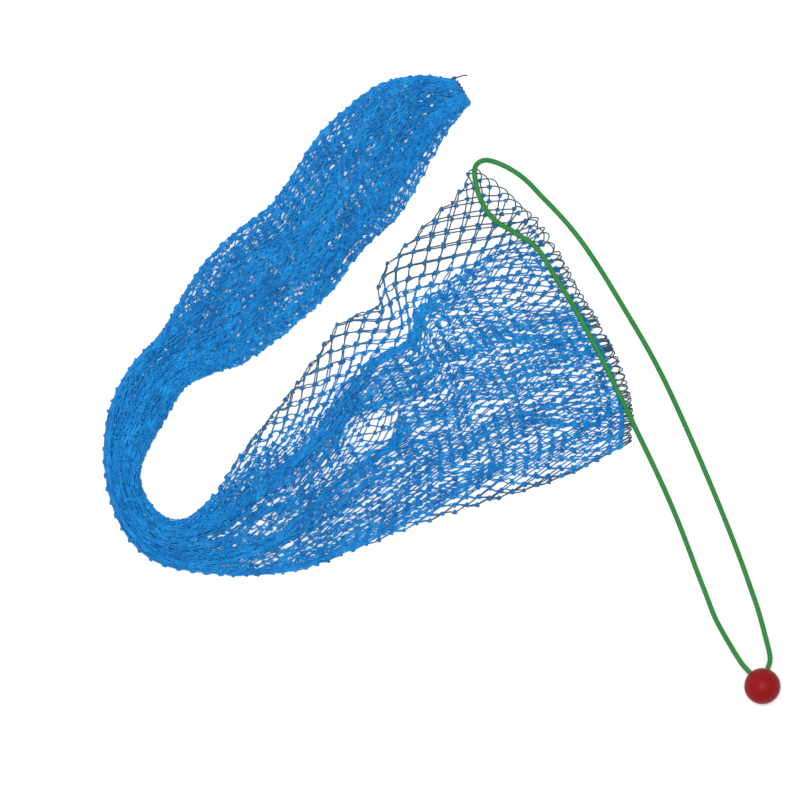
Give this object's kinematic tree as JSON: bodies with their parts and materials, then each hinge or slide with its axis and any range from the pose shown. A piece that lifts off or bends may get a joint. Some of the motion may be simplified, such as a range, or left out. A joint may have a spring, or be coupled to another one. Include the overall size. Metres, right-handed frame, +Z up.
{
  "type": "cast net",
  "caption": "Bag of knotted twine netting laid in a U, its tail tied shut, with a drawcord round the mouth loops ending in a ball.",
  "frame": {"origin": "middle of the laid netting's plan, on the ground that it lies on; the drawcord and its ball are left out of that middle", "axes": "+Z up from the ground; +X from the U's bend towards the bag's mouth, along the netting's longest extent; +Y towards the tied tail"},
  "size_m": [0.6765, 0.6287, 0.036],
  "materials": {
    "netting": "satin",
    "twine": "satin",
    "cord": "matte",
    "ball": "gloss"
  },
  "bodies": {
    "net": {"webbing_bend_upper": "netting", "webbing_bend_middle": "netting", "webbing_bend_lower": "netting", "webbing_turn": "netting", "webbing_throat": "netting", "webbing_body": "netting", "webbing_mouth": "netting", "webbing_selvedge": "netting", "mouth_loop_01": "netting", "mouth_loop_02": "netting", "mouth_loop_03": "netting", "mouth_loop_04": "netting", "mouth_loop_05": "netting", "mouth_loop_06": "netting", "mouth_loop_07": "netting", "mouth_loop_08": "netting", "mouth_loop_09": "netting", "mouth_loop_10": "netting", "mouth_loop_11": "netting", "mouth_loop_12": "netting", "mouth_loop_13": "netting", "mouth_loop_14": "netting", "mouth_loop_15": "netting", "mouth_loop_16": "netting", "mouth_loop_17": "netting", "mouth_loop_18": "netting", "mouth_loop_19": "netting", "mouth_loop_20": "netting"},
    "tail": {"webbing_tail_tip": "netting", "webbing_tail_upper": "netting", "webbing_tail_middle": "netting", "webbing_tail_lower": "netting", "tail_closing_twine": "twine", "tail_twine_knot": "twine", "tail_twine_end": "twine"},
    "drawcord": {"drawcord": "cord"},
    "ball": {"ball_lower_shell": "ball", "ball_upper_shell": "ball", "stopper_knot_left": "cord", "stopper_knot_right": "cord"}
  },
  "joints": [
    {"name": "tail_swing", "type": "hinge", "parent": "net", "child": "tail", "pos_m": [-0.2315, -0.0805, 0], "axis": [0, 0, 1], "range_deg": [-3, 50], "deforming": ["webbing_bend_upper", "webbing_bend_middle", "webbing_bend_lower"]},
    {"name": "drawcord_pull", "type": "slide", "parent": "net", "child": "drawcord", "axis": [0.404, -0.9148, 0], "range_m": [0, 0.12], "deforming": ["webbing_throat", "webbing_body", "webbing_mouth", "webbing_selvedge", "mouth_loop_01", "mouth_loop_02", "mouth_loop_03", "mouth_loop_04", "mouth_loop_05", "mouth_loop_06", "mouth_loop_07", "mouth_loop_08", "mouth_loop_09", "mouth_loop_10", "mouth_loop_11", "mouth_loop_12", "mouth_loop_13", "mouth_loop_14", "mouth_loop_15", "mouth_loop_16", "mouth_loop_17", "mouth_loop_18", "mouth_loop_19", "mouth_loop_20"]},
    {"name": "ball_turn", "type": "hinge", "parent": "drawcord", "child": "ball", "pos_m": [0.3925, -0.36, 0.018], "axis": [-0.2207, 0.9753, 0], "range_deg": [-60, 60]}
  ]
}
